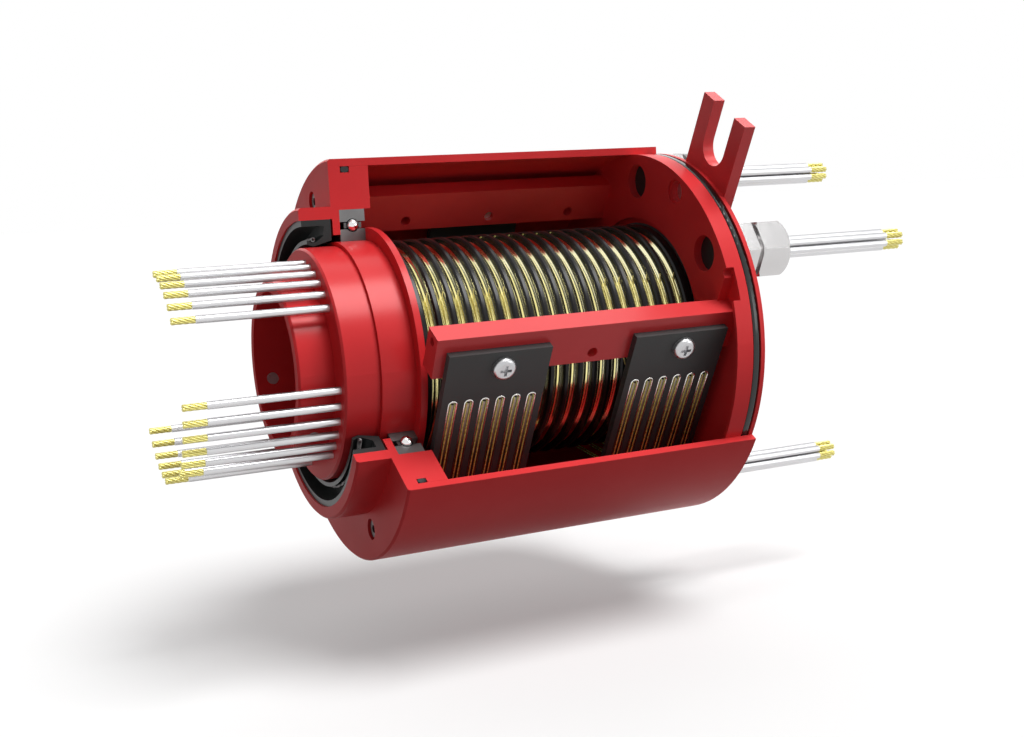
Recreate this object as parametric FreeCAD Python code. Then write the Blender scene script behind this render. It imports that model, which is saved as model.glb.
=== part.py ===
import FreeCAD, Part
import math
import os

V = FreeCAD.Vector

# Frame: X is the rotor axis, from the rotor leads towards the rear flange, and Z is up.
# Angles about X are clock angles: 0 points to -Y, the open side, and 90 points to +Z.
# The origin is on the axis, in the plane of the front housing's face. Lengths are in mm.

# Rotor, from its bore outwards
BORE_R = 30.0
TUBE_WALL = 4.5
CORE_WALL = 3.0
LEAD_CIRCLE_WALL = 6.0
SEAL_LAND_WALL = 11.5
BEARING_LAND_STEP = 1.5
RIM_HEIGHT = 5.0

# Rotor, along the axis
TUBE_PROUD_FRONT = 14.0
TUBE_PROUD_REAR = 7.0
HUB_PROUD_FRONT = 0.3
RIM_WIDTH = 2.6
CLIP_WIDTH = 1.3
CLIP_DEPTH = 1.6
CLIP_PROUD = 2.4
CLIP_OPENING = 20.0

# Slip rings and the insulated barrel that carries them
RING_COUNT = 18
RING_PITCH = 6.45
RING_WIDTH = 3.8
RING_BED = 4.5
RING_SECTION = 2.5
RING_GROOVE = 0.8
RING_LIP = 0.3
BARRIER_HEIGHT = 2.3
BARRIER_CHAMFER = 0.7
BARREL_FRONT_WALL = 4.5
BARREL_REAR_WALL = 4.7
NECK_HEIGHT = 3.0
NECK_GAP = 0.7

# Front bearing, thin section, 95 x 120 x 10.4
FRONT_SECTION = 12.5
FRONT_WIDTH = 10.4
FRONT_BALL = 4.8
FRONT_BALLS = 13

# Rear bearing, thin-section size 75 x 95 x 10
REAR_SECTION = 10.0
REAR_WIDTH = 10.0
REAR_BALL = 5.0
REAR_BALLS = 15
REAR_SINK = 2.0

# Parts of either bearing
LAND_GAP = 3.0
BALL_PLAY = 0.25
CAGE_PLAY = 0.4
CAGE_WALL = 1.2
POCKET_PLAY = 0.15

# Cover and its cut-away window
SLEEVE_WALL = 3.0
WINDOW_LOW = -30.0
WINDOW_HIGH = 90.0
FIT = 0.05
PRESS = 0.02

# Front housing
PLATE_THICK = 16.5
PLATE_LIP = 4.0
PLATE_RING = 20.0
EDGE_CHAMFER = 0.8
NOSE_LENGTH = 13.2
NOSE_WALL = 4.9
SHOULDER_HEIGHT = 9.7
SHOULDER_X = 0.4
SHOULDER_THICK = 3.0

# O-rings and their grooves
GROOVE_WIDTH = 3.7
GROOVE_DEPTH = 2.4
GROOVE_FROM_LIP = 0.9
GROOVE_FROM_REAR = 5.6
O_RING_WIDTH = 3.4

# Shaft seal
SEAL_SECTION = 10.6
SEAL_LENGTH = 12.0
SEAL_BACK = 0.4
SEAL_WALL = 2.4
SEAL_WEB = 3.0
SEAL_BED = 1.6
LIP_PLAY = 0.3
LIP_LIFT = 1.0
LIP_HALF = 2.6
LIP_X = -8.0
SPRING_WIRE_R = 1.0

# Rear flange
FLANGE_THICK = 13.0
HUB_WALL = 5.5
HUB_PROUD = 3.0
LIP_HEIGHT = 3.5
FLAT_N = 47.0
FLAT_DEPTH = 4.5
FLAT_WALL = 1.5
NOTCH_DEPTH = 3.3
NOTCH_LOW = 13.0
NOTCH_HIGH = 23.0
BARREL_ROOM = 3.0

# Frame bars
BAR_THICK = 9.1
BAR_HEIGHT = 16.9
BAR_END_HOLE = 3.5
BAR_CROSS_HOLE = 4.3
TAP_R = 1.65
TAP_DEPTH = 14.0
FRONT_BAR_SINK = 0.7
FRONT_BAR_REACH = 2.6
REAR_BAR_LIFT = 1.6
BAR_T = 29.6

# Brush blocks
RINGS_PER_BLOCK = 6
SCREW_AT_RING = 2.75
PLATE_DEPTH = 3.0
PLATE_ABOVE_SCREW = 7.0
PLATE_BOTTOM = -28.5
PLATE_SIDE = 4.6
PLATE_HOLE_R = 2.75
STRIP_WIDTH = 4.0
STRIP_THICK = 0.5
CHANNEL_DEPTH = 0.8
STRIP_CAP = 1.7
FRONT_WIRE_T = 18.9
REAR_WIRE_T = 8.0
LOWER_WIRE_T = -25.0
WIRE_SIZE = 0.6
WIRE_SPREAD = 0.8
WIRE_SLOT_PLAY = 0.15
WIRE_TIP = 3.0
WIRE_TIP_LIFT = 25.0
FRONT_WRAP = 4.0
REAR_WRAP = 9.0
LOWER_WRAP = 8.0

# Screws
PAN_HEAD_R = 4.65
PAN_HEAD_HIGH = 2.7
PAN_ROUND = 1.7
RECESS_HALF = 2.3
RECESS_SLIM = 0.6
RECESS_DEEP = 1.4
SCREW_R = 1.6
BLOCK_SCREW_LENGTH = 10.0
BLOCK_SCREW_R = 2.05
BLOCK_TAP_R = 2.1
CAP_HEAD_R = 3.5
CAP_HEAD_HIGH = 4.0
CAP_SINK = 5.0
CAP_SINK_R = 4.2
CAP_CLEAR_R = 2.2
CAP_IN_BAR = 9.0
SOCKET_AF = 3.0
SOCKET_DEEP = 2.0
SET_SCREW_R = 2.5
SET_SCREW_ANGLES = (75.0, 195.0, 315.0)
SET_SCREW_AF = 2.5
SET_SCREW_SINK = 0.3

# Torque arm
ARM_ANGLE = 60.0
ARM_THICK = 5.0
ARM_WIDTH = 32.0
ARM_REACH = 26.5
ARM_SLOT = 15.6
ARM_SLOT_CLEAR = 2.0
ARM_FOOT_GAP = 0.5
ARM_BOLT_INSET = 10.3
ARM_BOLT_TAP_R = 4.25
ARM_BOLT_PLAY = 1.0
ARM_BOLT_MOUTH = 0.9
ARM_BOLT_SHORT = 4.0
ARM_BOLT_HEAD_R = 8.0
ARM_BOLT_HEAD_HIGH = 6.0
ARM_PIN_SPREAD = 10.5
ARM_PIN_OUT = 7.5
ARM_PIN_HOLE_R = 2.1
ARM_PIN_DEEP = 8.0
ARM_PIN_END_GAP = 0.5

# Cable glands and stator leads
GLAND_ANGLES = (86.0, 32.7, -84.0)
GLAND_INSET = 14.5
GLAND_THREAD_R = 7.2
GLAND_THREAD_LONG = 9.0
GLAND_HEX = 22.0
GLAND_HEX_LONG = 6.0
GLAND_NECK_R = 8.6
GLAND_NECK_LONG = 2.0
GLAND_NUT_LONG = 15.0
GLAND_BORE_R = 6.0
GLAND_MOUTH_R = 5.2
GLAND_MOUTH_LONG = 3.0
GLAND_CHAMFER = 1.0
GLAND_DOME_LONG = 5.0
GLAND_RIM_R = 6.6
INSERT_SHORT = 0.5
INSERT_FACE = 0.6

# Leads
LEAD_R = 1.5
CORE_R = 1.0
STRIPPED = 8.6
LEAD_HOLE_PLAY = 0.1
LEAD_ROOT_GAP = 1.0
LEADS_IN_GROUP = 6
LEAD_STEP = 9.0
LEAD_GROUP_ANGLES = (59.5, -30.5, -120.5)
ROTOR_LEAD_END = -71.6
STATOR_LEAD_END = 236.0
BUNDLE_R = 3.1

# Radii worked out from those above
TUBE_R = BORE_R + TUBE_WALL
REAR_BORE_R = TUBE_R + CORE_WALL
REAR_OUT_R = REAR_BORE_R + REAR_SECTION
LEAD_CIRCLE_R = TUBE_R + LEAD_CIRCLE_WALL
SEAL_LAND_R = TUBE_R + SEAL_LAND_WALL
SEAL_SEAT_R = SEAL_LAND_R + SEAL_SECTION
NOSE_R = SEAL_SEAT_R + NOSE_WALL
FRONT_BORE_R = SEAL_LAND_R + BEARING_LAND_STEP
FRONT_OUT_R = FRONT_BORE_R + FRONT_SECTION
SHOULDER_R = FRONT_OUT_R - SHOULDER_HEIGHT
RIM_R = FRONT_BORE_R + RIM_HEIGHT
RING_BED_R = REAR_BORE_R + RING_BED
RING_R = RING_BED_R + RING_SECTION
BARRIER_R = RING_R + BARRIER_HEIGHT
SLEEVE_R = FRONT_OUT_R + PLATE_RING
SLEEVE_IN_R = SLEEVE_R - SLEEVE_WALL
SPIGOT_R = SLEEVE_IN_R - FIT
GROOVE_FOOT_R = SPIGOT_R - GROOVE_DEPTH
HUB_R = REAR_OUT_R + HUB_WALL
LIP_R = REAR_OUT_R - LIP_HEIGHT
GLAND_CIRCLE_R = SLEEVE_R - GLAND_INSET
ARM_BOLT_R = SLEEVE_R - ARM_BOLT_INSET
ARM_PIN_R = HUB_R + ARM_PIN_OUT
ARM_TIP = SLEEVE_R + ARM_REACH
ARM_SLOT_FOOT = SLEEVE_R + ARM_SLOT_CLEAR

# Places along the axis worked out from those above
FRONT_GROOVE_X = PLATE_LIP + GROOVE_FROM_LIP
FRONT_X = SHOULDER_X + SHOULDER_THICK
HUB_FRONT = -NOSE_LENGTH - HUB_PROUD_FRONT
TUBE_FRONT = HUB_FRONT - TUBE_PROUD_FRONT
RIM_X = FRONT_X + FRONT_WIDTH
BARREL_START = RIM_X + RIM_WIDTH
RING_FIRST = BARREL_START + BARREL_FRONT_WALL + RING_WIDTH / 2
RING_LAST = RING_FIRST + RING_PITCH * (RING_COUNT - 1)
REAR_X = RING_LAST + RING_WIDTH / 2 + BARREL_REAR_WALL
CLIP_X = REAR_X + REAR_WIDTH
TUBE_REAR = CLIP_X + TUBE_PROUD_REAR
FLANGE_FACE = REAR_X - REAR_SINK
FLANGE_REAR = FLANGE_FACE + FLANGE_THICK
SLEEVE_END = FLANGE_REAR
REAR_GROOVE_X = SLEEVE_END - GROOVE_FROM_REAR
FLAT_FLOOR = FLANGE_FACE + FLAT_DEPTH
GLAND_NUT_X = FLANGE_REAR + GLAND_HEX_LONG + GLAND_NECK_LONG
GLAND_END = GLAND_NUT_X + GLAND_NUT_LONG

# Other places worked out from those above
WINDOW_SWEEP = 360.0 - (WINDOW_HIGH - WINDOW_LOW)
FRONT_BAR_N = BARRIER_R - FRONT_BAR_SINK
REAR_BAR_N = BARRIER_R + REAR_BAR_LIFT
CROSS_HOLES = [RING_FIRST + RING_PITCH * (RINGS_PER_BLOCK * k + SCREW_AT_RING) for k in range(3)]
BLOCK_X = [RING_FIRST + RING_PITCH * RINGS_PER_BLOCK * k for k in range(3)]


def save(name, shape):
    """Writes one node as a STEP file."""
    shape.exportStep("parts/" + name + ".step")


def group(shapes):
    """Several separate solids in one node."""
    return Part.makeCompound(shapes)


def turn(shape, angle):
    """Turns a shape about the rotor axis by a clock angle."""
    turned = shape.copy()
    turned.rotate(V(0, 0, 0), V(-1, 0, 0), angle)
    return turned


def spin(profile, start=0.0, sweep=360.0):
    """Revolves a closed outline of (x, radius) points about the rotor axis."""
    points = [V(x, -r, 0) for x, r in profile]
    face = Part.Face(Part.makePolygon(points + points[:1]))
    return turn(face, start).revolve(V(0, 0, 0), V(-1, 0, 0), sweep)


def spin_cut(profile):
    """Revolves an outline over everything but the cut-away window."""
    return spin(profile, WINDOW_HIGH, WINDOW_SWEEP)


def ring_of_circle(x, radius, wire_r, start=0.0, sweep=360.0):
    """A ring of round section about the rotor axis."""
    circle = Part.Circle(V(x, -radius, 0), V(0, 0, 1), wire_r)
    face = Part.Face(Part.Wire(circle.toShape()))
    return turn(face, start).revolve(V(0, 0, 0), V(-1, 0, 0), sweep)


def rod(x0, x1, radius, angle=0.0, circle_r=0.0):
    """A cylinder along X, on a circle about the axis."""
    bar = Part.makeCylinder(radius, x1 - x0, V(x0, -circle_r, 0), V(1, 0, 0))
    return turn(bar, angle)


def hexagon(x0, x1, across, y=0.0, z=0.0):
    """A hexagonal prism along X."""
    corner = across / math.sqrt(3)
    steps = [math.radians(60 * k) for k in range(7)]
    points = [V(x0, y + corner * math.sin(a), z + corner * math.cos(a)) for a in steps]
    return Part.Face(Part.makePolygon(points)).extrude(V(x1 - x0, 0, 0))


def block(x0, x1, n0, n1, t0, t1):
    """A box, with n measured outwards to -Y and t measured up."""
    return Part.makeBox(x1 - x0, n1 - n0, t1 - t0, V(x0, -n1, t0))


def seat(shape, angle, flipped):
    """Puts a piece drawn with n outwards at its clock angle, the other way up if flipped."""
    if flipped:
        shape = shape.mirror(V(0, 0, 0), V(0, 0, 1))
    return turn(shape, angle)


class BarPlace:
    """Where one frame bar lies: its clock angle, which way up, and its inner lower corner."""

    def __init__(self, angle, flipped, n, t):
        self.angle = angle
        self.flipped = flipped
        self.n = n
        self.t = t
        self.outer = n + BAR_THICK
        self.end_hole = (n + BAR_THICK / 2, t + BAR_HEIGHT - BAR_END_HOLE)
        self.screw_t = t + BAR_CROSS_HOLE

    def put(self, shape):
        return seat(shape, self.angle, self.flipped)

    def rod_at_end(self, x0, x1, radius):
        """A cylinder along X through the bar's end hole."""
        n, t = self.end_hole
        bar = Part.makeCylinder(radius, x1 - x0, V(x0, -n, t), V(1, 0, 0))
        return self.put(bar)


FRONT_BAR = BarPlace(WINDOW_LOW, False, FRONT_BAR_N, BAR_T)
REAR_BAR = BarPlace(WINDOW_LOW + 180, True, REAR_BAR_N, BAR_T)
LOWER_BAR = BarPlace(WINDOW_LOW, True, REAR_BAR_N, BAR_T)
BARS = (FRONT_BAR, REAR_BAR, LOWER_BAR)


def front_housing():
    """End plate with its stepped nose, seal seat, bearing seat and O-ring groove."""
    groove_end = FRONT_GROOVE_X + GROOVE_WIDTH
    seat_r = FRONT_OUT_R + PRESS
    body = spin_cut([
        (-NOSE_LENGTH, SEAL_SEAT_R),
        (-NOSE_LENGTH, NOSE_R - EDGE_CHAMFER),
        (-NOSE_LENGTH + EDGE_CHAMFER, NOSE_R),
        (0, NOSE_R),
        (0, SLEEVE_R - EDGE_CHAMFER),
        (EDGE_CHAMFER, SLEEVE_R),
        (PLATE_LIP, SLEEVE_R),
        (PLATE_LIP, SPIGOT_R),
        (FRONT_GROOVE_X, SPIGOT_R),
        (FRONT_GROOVE_X, GROOVE_FOOT_R),
        (groove_end, GROOVE_FOOT_R),
        (groove_end, SPIGOT_R),
        (PLATE_THICK, SPIGOT_R),
        (PLATE_THICK, seat_r),
        (FRONT_X, seat_r),
        (FRONT_X, SHOULDER_R),
        (SHOULDER_X, SHOULDER_R),
        (SHOULDER_X, SEAL_SEAT_R),
    ])
    for bar in (REAR_BAR, LOWER_BAR):
        body = body.cut(bar.rod_at_end(-1, PLATE_THICK + 1, CAP_CLEAR_R))
        body = body.cut(bar.rod_at_end(-1, CAP_SINK, CAP_SINK_R))
    return body


def cover_sleeve():
    """Thin tube between the end plate's lip and the flange's rear edge."""
    return spin_cut([
        (PLATE_LIP, SLEEVE_IN_R),
        (SLEEVE_END, SLEEVE_IN_R),
        (SLEEVE_END, SLEEVE_R),
        (PLATE_LIP, SLEEVE_R),
    ])


def flange_disc():
    """Turned form of the rear flange, with O-ring groove and bearing seat."""
    seat_r = REAR_OUT_R + PRESS
    groove_end = REAR_GROOVE_X + GROOVE_WIDTH
    room_r = BARRIER_R + BARREL_ROOM
    return spin([
        (FLANGE_FACE, room_r),
        (FLANGE_FACE, SPIGOT_R),
        (REAR_GROOVE_X, SPIGOT_R),
        (REAR_GROOVE_X, GROOVE_FOOT_R),
        (groove_end, GROOVE_FOOT_R),
        (groove_end, SPIGOT_R),
        (FLANGE_REAR, SPIGOT_R),
        (FLANGE_REAR, HUB_R),
        (FLANGE_REAR + HUB_PROUD, HUB_R),
        (FLANGE_REAR + HUB_PROUD, LIP_R),
        (CLIP_X, LIP_R),
        (CLIP_X, seat_r),
        (REAR_X, seat_r),
        (REAR_X, room_r),
    ])


def flat_pocket():
    """Room in the flange's inner face for the ends of the front brush plates."""
    reach = math.sqrt(SLEEVE_IN_R ** 2 - FLAT_N ** 2)
    slab = block(FLANGE_FACE - 1, FLAT_FLOOR, FLAT_N, SLEEVE_IN_R, -reach, reach)
    inside = rod(FLANGE_FACE - 1, FLAT_FLOOR, SPIGOT_R - FLAT_WALL)
    return turn(slab, WINDOW_LOW).common(inside)


def rim_notch():
    """Where the flange's thin rim is lowered beside the pocket."""
    profile = [
        (FLANGE_FACE - 1, SPIGOT_R - 2 * FLAT_WALL),
        (FLANGE_FACE - 1, SLEEVE_R),
        (FLANGE_FACE + NOTCH_DEPTH, SLEEVE_R),
        (FLANGE_FACE + NOTCH_DEPTH, SPIGOT_R - 2 * FLAT_WALL),
    ]
    return spin(profile, NOTCH_LOW, NOTCH_HIGH - NOTCH_LOW)


def rear_flange():
    """Closed rear end: carries the rear bearing, glands, torque arm and bars."""
    body = flange_disc().cut(flat_pocket()).cut(rim_notch())
    far = FLANGE_REAR + HUB_PROUD + 1
    for angle in GLAND_ANGLES:
        body = body.cut(rod(FLANGE_FACE - 1, far, GLAND_THREAD_R + FIT, angle, GLAND_CIRCLE_R))
    body = body.cut(rod(FLANGE_FACE - 1, far, ARM_BOLT_TAP_R + FIT, ARM_ANGLE, ARM_BOLT_R))
    mouth_r = ARM_BOLT_TAP_R + ARM_BOLT_MOUTH
    body = body.cut(rod(FLANGE_FACE - 1, FLANGE_FACE + ARM_BOLT_MOUTH, mouth_r, ARM_ANGLE, ARM_BOLT_R))
    for side in (-1, 1):
        body = body.cut(arm_pin_rod(side, FLANGE_REAR - ARM_PIN_DEEP, far, ARM_PIN_HOLE_R + FIT))
    for bar in BARS:
        body = body.cut(bar.rod_at_end(FLANGE_FACE - 1, far, CAP_CLEAR_R))
        body = body.cut(bar.rod_at_end(FLANGE_REAR - CAP_SINK, far, CAP_SINK_R))
    return body


def plain_bar(place):
    """One frame bar between the end plate and the flange, tapped at both ends."""
    top = place.t + BAR_HEIGHT
    bar = place.put(block(PLATE_THICK, FLANGE_FACE, place.n, place.outer, place.t, top))
    bar = bar.cut(place.rod_at_end(PLATE_THICK - 1, PLATE_THICK + TAP_DEPTH, TAP_R))
    return bar.cut(place.rod_at_end(FLANGE_FACE - TAP_DEPTH, FLANGE_FACE + 1, TAP_R))


def cross_hole(place, x):
    """Tapped hole through a bar for a brush block's screw."""
    start = V(x, -place.n + 1, place.screw_t)
    return place.put(Part.makeCylinder(BLOCK_TAP_R, BAR_THICK + 2, start, V(0, -1, 0)))


def drilled_bar(place):
    """A bar with the three cross holes that brush blocks are screwed to."""
    bar = plain_bar(place)
    for x in CROSS_HOLES:
        bar = bar.cut(cross_hole(place, x))
    return bar


def front_bar():
    """The front bar is longer at both ends: it has a tongue that stands in the flange's pocket."""
    bar = drilled_bar(FRONT_BAR)
    top = FRONT_BAR.t + BAR_HEIGHT
    tongue = block(FLANGE_FACE, FLAT_FLOOR, FLAT_N + FIT, FRONT_BAR.outer, FRONT_BAR.t, top)
    start = PLATE_THICK - FRONT_BAR_REACH
    root = block(start, PLATE_THICK, FRONT_BAR.n, FRONT_BAR.outer, FRONT_BAR.t, top)
    bar = bar.fuse(FRONT_BAR.put(tongue)).fuse(FRONT_BAR.put(root))
    bar = bar.cut(FRONT_BAR.rod_at_end(start - 1, PLATE_THICK + 1, TAP_R))
    return bar.cut(FRONT_BAR.rod_at_end(FLANGE_FACE, FLAT_FLOOR + 1, CAP_CLEAR_R))


def hex_socket(x, across, deep, n, t):
    """Six-sided recess that opens towards -X."""
    return hexagon(x, x + deep, across, -n, t)


def cap_screw(place, x_head, direction, length):
    """Socket screw at a bar's end hole, with its head at x_head."""
    n, t = place.end_hole
    axis = V(direction, 0, 0)
    head = Part.makeCylinder(CAP_HEAD_R, CAP_HEAD_HIGH, V(x_head, -n, t), axis)
    under = V(x_head + direction * CAP_HEAD_HIGH, -n, t)
    screw = head.fuse(Part.makeCylinder(SCREW_R, length, under, axis))
    socket_start = min(x_head, x_head + direction * SOCKET_DEEP)
    screw = screw.cut(hex_socket(socket_start, SOCKET_AF, SOCKET_DEEP, n, t))
    return place.put(screw)


def housing_screws():
    """Socket screws through the end plate into the bars that it still reaches."""
    length = PLATE_THICK - CAP_SINK + CAP_IN_BAR
    head_x = CAP_SINK - CAP_HEAD_HIGH
    return group([cap_screw(bar, head_x, 1, length) for bar in (REAR_BAR, LOWER_BAR)])


def flange_screws():
    """Socket screws through the rear flange into the three bars."""
    depth = FLANGE_REAR - CAP_SINK - FLANGE_FACE
    head_x = FLANGE_REAR - CAP_SINK + CAP_HEAD_HIGH
    return group([cap_screw(bar, head_x, -1, depth + CAP_IN_BAR) for bar in BARS])


def o_ring(groove_x, sweep_cut):
    """Squashed round ring that fills its groove up to the sleeve."""
    flat = (O_RING_WIDTH - GROOVE_DEPTH) / 2
    half = GROOVE_DEPTH / 2 - FIT
    mid_x = groove_x + GROOVE_WIDTH / 2
    mid_r = -(GROOVE_FOOT_R + GROOVE_DEPTH / 2)
    low = mid_r - half
    high = mid_r + half
    left = mid_x - flat
    right = mid_x + flat
    edges = [
        Part.LineSegment(V(left, low, 0), V(right, low, 0)).toShape(),
        Part.Arc(V(right, low, 0), V(right + half, mid_r, 0), V(right, high, 0)).toShape(),
        Part.LineSegment(V(right, high, 0), V(left, high, 0)).toShape(),
        Part.Arc(V(left, high, 0), V(left - half, mid_r, 0), V(left, low, 0)).toShape(),
    ]
    face = Part.Face(Part.Wire(edges))
    start, sweep = (WINDOW_HIGH, WINDOW_SWEEP) if sweep_cut else (0.0, 360.0)
    return turn(face, start).revolve(V(0, 0, 0), V(-1, 0, 0), sweep)


def shaft_seal():
    """Lip seal, open to the front, whose lip all but touches the rotor's seal land."""
    front = -SEAL_BACK - SEAL_LENGTH
    inner = SEAL_SEAT_R - SEAL_WALL
    lip = SEAL_LAND_R + LIP_PLAY
    bed = lip + SEAL_BED
    bank = bed + SPRING_WIRE_R
    return spin_cut([
        (front, inner),
        (front, SEAL_SEAT_R),
        (-SEAL_BACK, SEAL_SEAT_R),
        (-SEAL_BACK, lip + 2 * LIP_LIFT),
        (LIP_X, lip),
        (LIP_X - LIP_HALF, lip + LIP_LIFT),
        (LIP_X - LIP_HALF, bank),
        (LIP_X - SPRING_WIRE_R, bed),
        (LIP_X + SPRING_WIRE_R, bed),
        (LIP_X + LIP_HALF, bank),
        (-SEAL_BACK - SEAL_WEB, bank + SEAL_BED),
        (-SEAL_BACK - SEAL_WEB, inner),
    ])


def seal_spring():
    """Garter spring round the seal's lip, as one round ring."""
    radius = SEAL_LAND_R + LIP_PLAY + SEAL_BED + SPRING_WIRE_R
    return ring_of_circle(LIP_X, radius, SPRING_WIRE_R, WINDOW_HIGH, WINDOW_SWEEP)


class Bearing:
    """One deep-groove ball bearing, cut by the window or whole."""

    def __init__(self, x, width, bore_r, out_r, ball, count, cut):
        self.x = x
        self.width = width
        self.bore_r = bore_r
        self.out_r = out_r
        self.ball_r = ball / 2
        self.count = count
        self.cut_open = cut
        self.mid = x + width / 2
        self.pitch_r = (bore_r + out_r) / 2
        self.groove = ring_of_circle(self.mid, self.pitch_r, self.ball_r + BALL_PLAY)

    def revolve(self, profile):
        return spin_cut(profile) if self.cut_open else spin(profile)

    def tube(self, inner, outer, x0, x1):
        return self.revolve([(x0, inner), (x0, outer), (x1, outer), (x1, inner)])

    def outer_race(self):
        """Outer race with its ball groove."""
        land = self.pitch_r + LAND_GAP / 2
        return self.tube(land, self.out_r, self.x, self.x + self.width).cut(self.groove)

    def inner_race(self):
        """Inner race with its ball groove."""
        land = self.pitch_r - LAND_GAP / 2
        return self.tube(self.bore_r + PRESS, land, self.x, self.x + self.width).cut(self.groove)

    def angles(self):
        """Clock angles of the balls. In a cut bearing the first and last stand whole in the cuts."""
        if not self.cut_open:
            return [360.0 * k / self.count for k in range(self.count)]
        return [WINDOW_HIGH + WINDOW_SWEEP * k / (self.count - 1) for k in range(self.count)]

    def balls(self):
        """All balls as separate solids."""
        sphere = Part.makeSphere(self.ball_r, V(self.mid, -self.pitch_r, 0), V(1, 0, 0))
        return group([turn(sphere, angle) for angle in self.angles()])

    def cage(self):
        """Band between the races with a drilled pocket for each ball."""
        half = self.ball_r + CAGE_WALL
        thick = LAND_GAP / 2 - CAGE_PLAY
        inner = self.pitch_r - thick
        outer = self.pitch_r + thick
        band = self.tube(inner, outer, self.mid - half, self.mid + half)
        start = V(self.mid, -self.out_r, 0)
        pocket = Part.makeCylinder(self.ball_r + POCKET_PLAY, self.out_r - self.bore_r, start, V(0, 1, 0))
        for angle in self.angles():
            band = band.cut(turn(pocket, angle))
        return band


def bore_tube():
    """Through-bore tube of the rotor, drilled for the set screws."""
    tube = spin([
        (TUBE_FRONT, BORE_R),
        (TUBE_FRONT, TUBE_R - EDGE_CHAMFER),
        (TUBE_FRONT + EDGE_CHAMFER, TUBE_R),
        (TUBE_REAR, TUBE_R),
        (TUBE_REAR, BORE_R),
    ])
    for angle in SET_SCREW_ANGLES:
        tube = tube.cut(set_screw_blank(angle, -1, SET_SCREW_R + PRESS))
    return tube


def set_screw_blank(angle, inset, radius):
    """Radial cylinder through the tube's wall at a set screw."""
    mid_x = (TUBE_FRONT + HUB_FRONT) / 2
    start = V(mid_x, -BORE_R - inset, 0)
    return turn(Part.makeCylinder(radius, TUBE_WALL - 2 * inset, start, V(0, -1, 0)), angle)


def set_screws():
    """Three socket set screws that clamp the rotor on a shaft."""
    mid_x = (TUBE_FRONT + HUB_FRONT) / 2
    corner = SET_SCREW_AF / math.sqrt(3)
    screws = []
    for angle in SET_SCREW_ANGLES:
        steps = [math.radians(60 * k) for k in range(7)]
        outline = [V(mid_x + corner * math.cos(a), -TUBE_R - 1, corner * math.sin(a)) for a in steps]
        recess = Part.Face(Part.makePolygon(outline)).extrude(V(0, 1 + SOCKET_DEEP, 0))
        screws.append(set_screw_blank(angle, SET_SCREW_SINK, SET_SCREW_R).cut(turn(recess, angle)))
    return group(screws)


def rotor_hub():
    """Sleeve on the tube: seal land, bearing land, rim and the barrel's core."""
    hub = spin([
        (HUB_FRONT, TUBE_R + PRESS),
        (HUB_FRONT, SEAL_LAND_R - EDGE_CHAMFER),
        (HUB_FRONT + EDGE_CHAMFER, SEAL_LAND_R),
        (SHOULDER_X, SEAL_LAND_R),
        (SHOULDER_X, FRONT_BORE_R),
        (RIM_X, FRONT_BORE_R),
        (RIM_X, RIM_R),
        (BARREL_START, RIM_R),
        (BARREL_START, REAR_BORE_R),
        (CLIP_X, REAR_BORE_R),
        (CLIP_X, REAR_BORE_R - CLIP_DEPTH),
        (CLIP_X + CLIP_WIDTH, REAR_BORE_R - CLIP_DEPTH),
        (CLIP_X + CLIP_WIDTH, REAR_BORE_R),
        (TUBE_REAR - EDGE_CHAMFER, REAR_BORE_R),
        (TUBE_REAR, REAR_BORE_R - EDGE_CHAMFER),
        (TUBE_REAR, TUBE_R + PRESS),
    ])
    for angle in lead_angles():
        hub = hub.cut(rod(HUB_FRONT - 1, BARREL_START, LEAD_R + LEAD_HOLE_PLAY, angle, LEAD_CIRCLE_R))
    return hub


def ring_x(index):
    """Where the middle of a slip ring lies."""
    return RING_FIRST + RING_PITCH * index


def ring_barrel():
    """One insulating moulding with a bed for each slip ring and a barrier beside it."""
    bore = REAR_BORE_R + PRESS
    flank = BARRIER_R - BARRIER_CHAMFER
    profile = [(BARREL_START, bore), (BARREL_START, BARRIER_R)]
    for index in range(RING_COUNT):
        left = ring_x(index) - RING_WIDTH / 2
        right = left + RING_WIDTH
        profile += [
            (left - BARRIER_CHAMFER, BARRIER_R),
            (left, flank),
            (left, RING_BED_R),
            (right, RING_BED_R),
            (right, flank),
            (right + BARRIER_CHAMFER, BARRIER_R),
        ]
    neck = REAR_BORE_R + NECK_HEIGHT
    profile += [(REAR_X - NECK_GAP, BARRIER_R), (REAR_X - NECK_GAP, neck), (REAR_X, neck), (REAR_X, bore)]
    return spin(profile)


def slip_ring(index):
    """One ring with two V grooves, one for each wire of a pair."""
    mid = ring_x(index)
    half = RING_WIDTH / 2
    foot = RING_R - RING_GROOVE
    return spin([
        (mid - half, RING_BED_R + PRESS),
        (mid - half, RING_R),
        (mid - half + RING_LIP, RING_R),
        (mid - WIRE_SPREAD, foot),
        (mid, RING_R),
        (mid + WIRE_SPREAD, foot),
        (mid + half - RING_LIP, RING_R),
        (mid + half, RING_R),
        (mid + half, RING_BED_R + PRESS),
    ])


def bearing_circlip():
    """Open retaining ring behind the rear bearing's inner race."""
    foot = REAR_BORE_R - CLIP_DEPTH + PRESS
    top = REAR_BORE_R + CLIP_PROUD
    side = CLIP_X + CLIP_WIDTH
    profile = [(CLIP_X, foot), (CLIP_X, top), (side, top), (side, foot)]
    return spin(profile, CLIP_OPENING / 2, 360 - CLIP_OPENING)


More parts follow.
